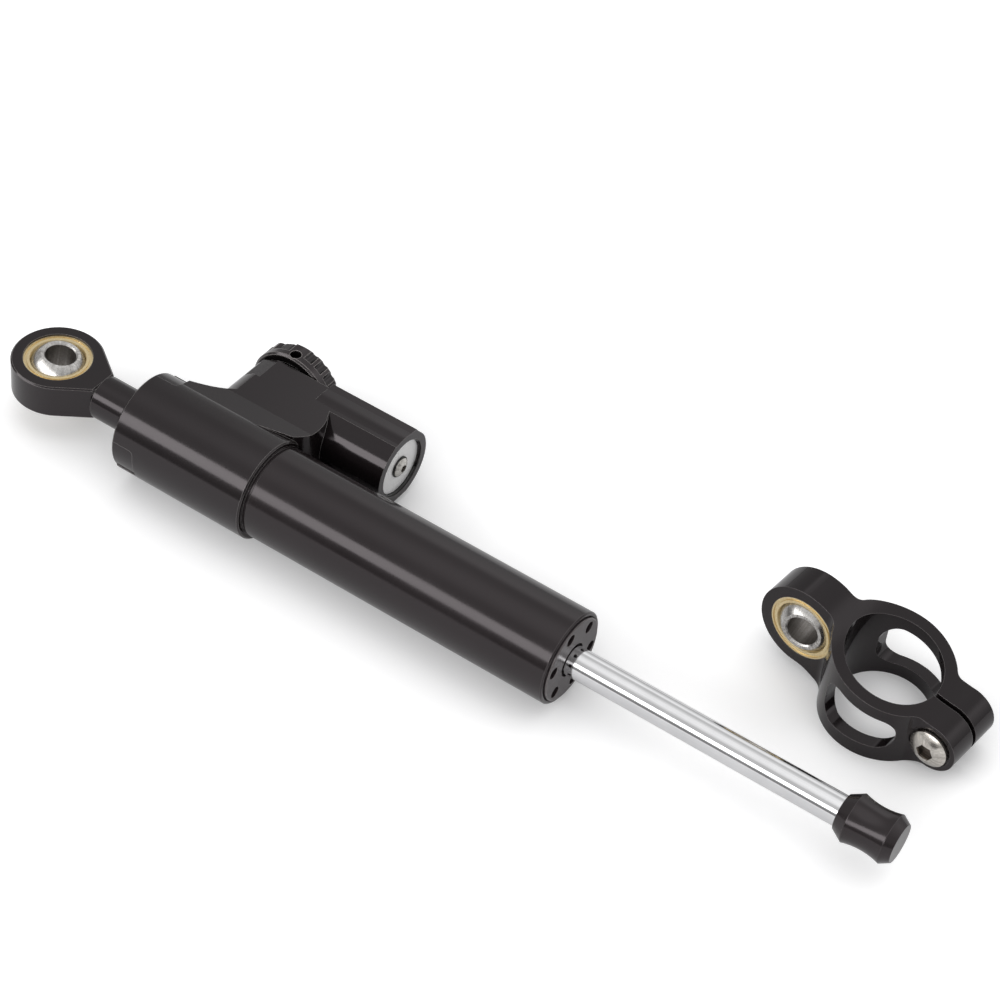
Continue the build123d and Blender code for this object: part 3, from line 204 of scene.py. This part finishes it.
def anodised(
    name, grain, gloss, level, edge_highlight_share, shade=1.0, edge_mm=0.22, edge_highlight_colour=EDGE_HIGHLIGHT_GREY, flutes=None
):
    """Glossy black anodising: fine machining marks, edges painted paler as a highlight, and painted
    shade on the floors between flutes.
    """
    s = Shader(name)
    s.fixed(Metallic=0.0, IOR=1.52, Specular_IOR_Level=level, Specular_Tint=BLACK_GLOSS_TINT)
    edge, rounded = s.edges(edge_mm)
    cloud = s.noise(BLACK_CLOUDS, detail=4.0)
    marks = s.noise(grain, detail=5.0, rough=0.65)
    deep, pale = [tuple(shade * part for part in black) for black in (DEEP_BLACK, PALE_BLACK)]
    base = s.mix(cloud, deep, pale)
    if flutes is not None:
        centre, axis, floor_radius, land_radius = flutes
        distance = s.about(centre, axis)[1]
        # Painted shade: inside the flutes' floor radius the colour goes to near black
        base = s.mix(s.ramp(distance, floor_radius, land_radius, 1.0, 0.0), base, FLUTE_FLOOR_SHADE)
    # Painted highlight: sharp edges are mixed towards a paler colour
    base = s.mix(s.math("MULTIPLY", edge, edge_highlight_share), base, edge_highlight_colour)
    rough = s.math("ADD", s.vary(cloud, *gloss), s.vary(marks, *MARK_GLOSS))
    return s.finish(base, rough, s.bump(marks, ANODISED_MARKS, normal=rounded))


def metal(name, low, high, gloss, grain, grain_height, blotch=0.15, metallic=1.0):
    """Bare or plated metal: cloudy stains and fine marks vary its colour and its gloss."""
    s = Shader(name)
    s.fixed(Metallic=metallic)
    rounded = s.edges(METAL_EDGE)[1]
    cloud = s.noise(blotch, detail=4.0)
    marks = s.noise(grain, detail=5.0, rough=0.6)
    both = s.math("MULTIPLY", s.math("ADD", cloud, marks), 0.5)
    base = s.mix(s.vary(both, 0.0, 1.0, band=0.15), low, high)
    return s.finish(base, s.vary(both, *gloss), s.bump(marks, grain_height, normal=rounded))


def brass_ring(name, low, high, centre, axis, lip=6.8):
    """Stained brass race, with painted shade inside its lip: a dark brown in the gap where the ball
    runs.
    """
    s = Shader(name)
    s.fixed(Metallic=1.0)
    rounded = s.edges(TURNED_EDGE)[1]
    distance = s.about(centre, axis)[1]
    speckle = s.noise(BRASS_SPECKLE, detail=5.0, rough=0.65)
    base = s.mix(s.vary(speckle, 0.0, 1.0, band=0.14), low, high)
    # Painted shade: inside the lip the colour goes to dark brown
    base = s.mix(s.ramp(distance, lip, lip + GAP_SHADE_STEP, 1.0, 0.0), base, GAP_SHADE_BROWN)
    rough = s.vary(speckle, *BRASS_GLOSS)
    return s.finish(base, rough, s.bump(speckle, TURNED_MARKS, normal=rounded))


def turned_steel(name, low, high, gloss, centre, axis, hole, floor_at=None, streaks=7.0):
    """Bright steel with streaks that fan out from its axis, and painted shade that darkens its bore,
    and its socket below a height when one is given.
    """
    s = Shader(name)
    s.fixed(Metallic=1.0)
    rounded = s.edges(TURNED_EDGE)[1]
    away, distance, height = s.about(centre, axis)
    spread = s.noise_at(s.scaled(away, streaks), detail=5.0, rough=0.7)
    speckle = s.noise(STEEL_SPECKLE, detail=4.0, rough=0.6)
    streaky = s.math("MULTIPLY", spread, STREAK_SHARE)
    both = s.math("ADD", streaky, s.math("MULTIPLY", speckle, 1.0 - STREAK_SHARE))
    # Painted shade: the bore, and a socket below its floor, are mixed towards a dark grey
    inside = s.ramp(distance, hole - BORE_STEP_IN, hole + BORE_STEP_OUT, 1.0, 0.0)
    if floor_at is not None:
        below = s.ramp(height, floor_at - SOCKET_STEP, floor_at, 1.0, 0.0)
        inside = s.math("MULTIPLY", inside, below)
    base = s.mix(s.vary(both, 0.0, 1.0, band=0.12), low, high)
    base = s.mix(inside, base, BORE_SHADE_GREY)
    smoothest, roughest = gloss
    polish = s.vary(both, roughest, smoothest, band=0.15)
    rough = s.math("ADD", polish, s.math("MULTIPLY", inside, BORE_DULLNESS))
    return s.finish(base, rough, s.bump(both, TURNED_MARKS, normal=rounded))


def rubber(name):
    """Dull black rubber with a fine grain."""
    s = Shader(name)
    s.fixed(IOR=1.5)
    grain = s.noise(RUBBER_GRAIN, detail=4.0)
    base = s.mix(grain, DARK_RUBBER, PALE_RUBBER)
    return s.finish(base, s.vary(grain, *RUBBER_GLOSS), s.bump(grain, RUBBER_MARKS, strength=0.4))


# ---------------------------------------------------------------- black pieces
# A brighter painted highlight for the edges of the knob and the gland
BRIGHT_EDGE_HIGHLIGHT = (0.30, 0.28, 0.27)
# Centre and axis of the knob, and where the painted shade on its flutes' floors ends and its lands
# begin
KNOB_FLUTES = ((50.809, 35.07, -1.355), (0.0, 0.99895, -0.0459), 11.4, 11.9)

turned_black = anodised(
    "turned_black", grain=(14.0, 0.12, 0.12), gloss=(0.12, 0.2), level=0.46, edge_highlight_share=0.75
)
milled_black = anodised(
    "milled_black", grain=(1.4, 1.4, 6.0), gloss=(0.08, 0.15), level=0.51, edge_highlight_share=0.9, shade=0.65,
    edge_highlight_colour=(0.20, 0.188, 0.184),
)
knob_black = anodised(
    "knob_black", grain=(2.0, 9.0, 2.0), gloss=(0.12, 0.22), level=0.6, edge_highlight_share=1.0, shade=1.3,
    edge_mm=0.32, edge_highlight_colour=BRIGHT_EDGE_HIGHLIGHT, flutes=KNOB_FLUTES,
)
clamp_black = anodised(
    "clamp_black", grain=(1.2, 1.2, 9.0), gloss=(0.08, 0.14), level=0.44, edge_highlight_share=1.0, shade=0.6,
    edge_mm=0.2,
)
gland_black = anodised(
    "gland_black", grain=(1.0, 9.0, 9.0), gloss=(0.22, 0.34), level=0.8, edge_highlight_share=1.0, shade=1.9,
    edge_highlight_colour=BRIGHT_EDGE_HIGHLIGHT,
)
bumper_gloss = anodised(
    "bumper_gloss", grain=(9.0, 0.2, 0.2), gloss=(0.10, 0.2), level=0.5, edge_highlight_share=0.3, edge_mm=0.3
)
seal_rubber = rubber("seal_rubber")

# ---------------------------------------------------------------- steel, brass and bright pieces
# Centres in millimetres and axes of the turned pieces, as they lie at rest
EYE_CENTRE = (0.0, 0.0, 0.0)
EYE_AXIS = (0.0, 0.046, 0.99894)
EYE_BALL_AXIS = (0.10103, 0.11376, 0.98836)
CLAMP_CENTRE = (200.3, 46.2, 1.45)
CLAMP_AXIS = (0.1115, 0.99377, 0.0)
CLAMP_BALL_AXIS = (-0.04787, 0.99635, -0.07063)
BOLT_CENTRE = (241.752, 38.07, -4.45)
BOLT_AXIS = (-0.1115, -0.99377, 0.0)
BLEED_CENTRE = (89.0, 27.92, -1.286)
BLEED_AXIS = (1.0, 0.0, 0.0)

ball_shades = ((0.36, 0.345, 0.33), (0.78, 0.765, 0.745), (0.2, 0.34))
eye_steel = turned_steel("eye_ball_steel", *ball_shades, EYE_CENTRE, EYE_BALL_AXIS, hole=4.0)
clamp_steel = turned_steel("clamp_ball_steel", *ball_shades, CLAMP_CENTRE, CLAMP_BALL_AXIS, hole=4.0)
bolt_steel = turned_steel(
    "bolt_steel", (0.46, 0.43, 0.39), (0.84, 0.80, 0.74), (0.18, 0.3),
    BOLT_CENTRE, BOLT_AXIS, hole=2.4, floor_at=7.0,
)
bleed_steel = turned_steel(
    "bleed_steel", (0.46, 0.44, 0.41), (0.80, 0.78, 0.74), (0.18, 0.3),
    BLEED_CENTRE, BLEED_AXIS, hole=1.25, floor_at=1.2,
)
brass_shades = ((0.82, 0.64, 0.34), (0.95, 0.82, 0.54))
race_brass = brass_ring("race_brass", *brass_shades, EYE_CENTRE, EYE_AXIS)
clamp_brass = brass_ring("clamp_race_brass", *brass_shades, CLAMP_CENTRE, CLAMP_AXIS)

chrome = metal(
    "hard_chrome", (0.74, 0.74, 0.75), (0.84, 0.84, 0.85),
    gloss=(0.05, 0.12), grain=(0.02, 6.0, 6.0), grain_height=0.0004,
)
ball_steel = metal(
    "ball_steel", (0.56, 0.55, 0.54), (0.74, 0.73, 0.72),
    gloss=(0.12, 0.26), grain=(1.2, 1.2, 7.0), grain_height=0.002, blotch=0.4,
)
plain_brass = metal(
    "plain_brass", (0.66, 0.50, 0.24), (0.80, 0.64, 0.34),
    gloss=(0.2, 0.35), grain=4.0, grain_height=0.004,
)
dark_steel = metal(
    "dark_steel", (0.05, 0.05, 0.05), (0.10, 0.10, 0.10),
    gloss=(0.25, 0.4), grain=4.0, grain_height=0.003,
)
disc_aluminium = metal(
    "disc_aluminium", (0.88, 0.875, 0.87), (0.95, 0.945, 0.94),
    gloss=(0.34, 0.46), grain=4.0, grain_height=0.002, metallic=0.45,
)
bush_bronze = metal(
    "bush_bronze", (0.40, 0.28, 0.15), (0.55, 0.42, 0.24),
    gloss=(0.35, 0.5), grain=5.0, grain_height=0.01,
)

# ---------------------------------------------------------------- which piece has which finish
by_slot = {
    "black_anodised": milled_black,
    "hard_chrome": chrome,
    "bearing_steel": ball_steel,
    "brass_race": race_brass,
    "plain_brass": plain_brass,
    "screw_steel": bolt_steel,
    "dark_steel": dark_steel,
    "clear_aluminium": disc_aluminium,
    "bush_bronze": bush_bronze,
    "seal_rubber": seal_rubber,
    "bumper_black": bumper_gloss,
    "washer_dark": seal_rubber,
}
by_node = {
    "barrel_tube": turned_black,
    "rod_gland": gland_black,
    "adjuster_knob": knob_black,
    "clamp_body": clamp_black,
    "eye_ball": eye_steel,
    "clamp_race": clamp_brass,
    "clamp_ball": clamp_steel,
    "bleed_screw": bleed_steel,
}
for entry in frame["record"]["subparts"]:
    node = entry["node"]
    finish = by_node.get(node, by_slot[entry["material_slot"]])
    mesh = cad[node].data
    mesh.materials.clear()
    mesh.materials.append(finish)

# ---------------------------------------------------------------- floor
# White paper for the camera, a little darker close to the damper, as in the photograph: its glow
# fades where the damper covers it, a painted shadow. The glow is for camera rays alone, so it lights
# nothing.
FLOOR_REACH = 3.0
PAPER = (0.86, 0.86, 0.865, 1.0)
SHADE_REACH = 30.0 * MM
# How covered the paper is, and the camera glow there; the lower glow where covered is painted shadow
COVERED, OPEN = 0.45, 1.0
GLOW_COVERED, GLOW_OPEN = 0.13, 0.52

corners = ((-1, -1), (1, -1), (1, 1), (-1, 1))
floor_mesh = bpy.data.meshes.new("floor")
floor_mesh.from_pydata(
    [(x * FLOOR_REACH, y * FLOOR_REACH, floor_z) for x, y in corners], [], [(0, 1, 2, 3)]
)
floor = bpy.data.objects.new("floor", floor_mesh)
scene.collection.objects.link(floor)

floor_paper = bpy.data.materials.new("floor_paper")
floor_paper.use_nodes = True
floor_mesh.materials.append(floor_paper)
paper = Nodes(floor_paper.node_tree)
surface = paper.tree.nodes["Principled BSDF"]
surface.inputs["Base Color"].default_value = PAPER
surface.inputs["Roughness"].default_value = 0.9
surface.inputs["Specular IOR Level"].default_value = 0.1
open_sky = paper.node("AmbientOcclusion", samples=8)
open_sky.inputs["Distance"].default_value = SHADE_REACH
# Painted shadow: the glow falls off where the ambient occlusion finds the damper close
paleness = paper.ramp(open_sky.outputs["AO"], COVERED, OPEN, GLOW_COVERED, GLOW_OPEN)
for_camera = paper.node("LightPath").outputs["Is Camera Ray"]
glow = paper.node("Emission")
paper.feed(glow.inputs["Color"], WHITE)
paper.feed(glow.inputs["Strength"], paper.math("MULTIPLY", for_camera, paleness))
both_shaders = paper.node("AddShader")
paper.feed(both_shaders.inputs[0], surface.outputs[0])
paper.feed(both_shaders.inputs[1], glow.outputs[0])
paper.feed(paper.tree.nodes["Material Output"].inputs["Surface"], both_shaders.outputs[0])

# ---------------------------------------------------------------- light
# A studio in grey levels, read off the reflections on the rod and the tube. Camera rays see white.
# Each stop is (height of the direction, from the horizon at 0 to overhead at 1; grey level).
FRONT = (
    (0.0, 0.20), (0.12, 0.22), (0.20, 0.30), (0.30, 0.46), (0.66, 0.60),
    (0.80, 0.58), (0.86, 0.66), (0.92, 0.90), (0.96, 1.05), (1.0, 1.06),
)
BEHIND = (
    (0.0, 0.38), (0.07, 0.46), (0.20, 0.58), (0.33, 0.74), (0.45, 0.92), (0.56, 1.06),
    (0.64, 0.92), (0.72, 0.62), (0.80, 0.60), (0.88, 0.74), (0.94, 0.98), (1.0, 1.06),
)
BEHIND_LEFT = (
    (0.0, 0.38), (0.07, 0.44), (0.30, 0.40), (0.50, 0.42), (0.72, 0.52),
    (0.80, 0.56), (0.88, 0.70), (0.94, 0.95), (1.0, 1.06),
)
LEFT_FADE = (-0.47, -0.37)
FRONT_FADE = (-0.25, 0.25)

world = bpy.data.worlds.new("studio")
scene.world = world
world.use_nodes = True
sky = Nodes(world.node_tree)
heading = sky.node("SeparateXYZ")
sky.feed(heading.inputs[0], sky.node("TexCoord").outputs["Generated"])


def sky_shades(shades):
    """The grey levels of one side of the studio."""
    made = sky.node("ValToRGB")
    stops = made.color_ramp
    stops.interpolation = "LINEAR"
    while len(stops.elements) < len(shades):
        stops.elements.new(0.5)
    for stop, (place, shade) in zip(stops.elements, shades):
        stop.position = place
        stop.color = (shade, shade, shade, 1.0)
    sky.feed(made.inputs["Fac"], heading.outputs["Z"])
    return made.outputs[0]


rightward = sky.ramp(heading.outputs["X"], *LEFT_FADE, 0.0, 1.0, curve="SMOOTHSTEP")
backward = sky.ramp(heading.outputs["Y"], *FRONT_FADE, 0.0, 1.0, curve="SMOOTHSTEP")
far_side = sky.mix(rightward, sky_shades(BEHIND_LEFT), sky_shades(BEHIND))
around = sky.mix(backward, sky_shades(FRONT), far_side)
seen = sky.mix(sky.node("LightPath").outputs["Is Camera Ray"], around, WHITE)
sky.feed(sky.tree.nodes["Background"].inputs["Color"], seen)


def softbox(name, aim, towards, distance, size, radiance):
    """An area lamp that faces the aim from a direction, with its long side level."""
    lamp = bpy.data.lights.new(name, "AREA")
    lamp.shape = "RECTANGLE"
    lamp.size, lamp.size_y = size
    lamp.energy = radiance * pi * size[0] * size[1]
    body = bpy.data.objects.new(name, lamp)
    scene.collection.objects.link(body)
    back = Vector(towards).normalized()
    side = Vector((0, 0, 1)).cross(back).normalized()
    turned = Matrix((side, back.cross(side), back)).transposed().to_4x4()
    body.matrix_world = Matrix.Translation(aim + back * distance) @ turned


softbox(
    "key_box", aim=Vector((0.11, 0.01, 0.0)), towards=(-0.30, -0.80, 0.50), distance=1.3,
    size=(2.4, 0.46), radiance=3.3,
)

# ---------------------------------------------------------------- camera
# Fitted to the photograph: where it stands, where it looks and its focal length in pixels
EYE_MM = (358.761, -381.444, 497.793)
FORWARD = (-0.3499, 0.5994, -0.7199)
RIGHT = (0.8231, 0.5636, 0.0692)
FOCAL_PIXELS = 2741.9
PHOTO_PIXELS = 1000.0
SENSOR_MM = 36.0

forward = Vector(FORWARD).normalized()
right = Vector(RIGHT)
right = (right - forward * right.dot(forward)).normalized()
above = right.cross(forward)
lens = bpy.data.cameras.new("photo_view")
lens.sensor_width = SENSOR_MM
lens.lens = FOCAL_PIXELS * SENSOR_MM / PHOTO_PIXELS
lens.clip_start = 0.01
lens.clip_end = 20.0
camera = bpy.data.objects.new("photo_view", lens)
scene.collection.objects.link(camera)
facing = Matrix((right, above, -forward)).transposed().to_4x4()
camera.matrix_world = Matrix.Translation(Vector(EYE_MM) * MM) @ facing
scene.camera = camera
scene.view_settings.view_transform = "Standard"
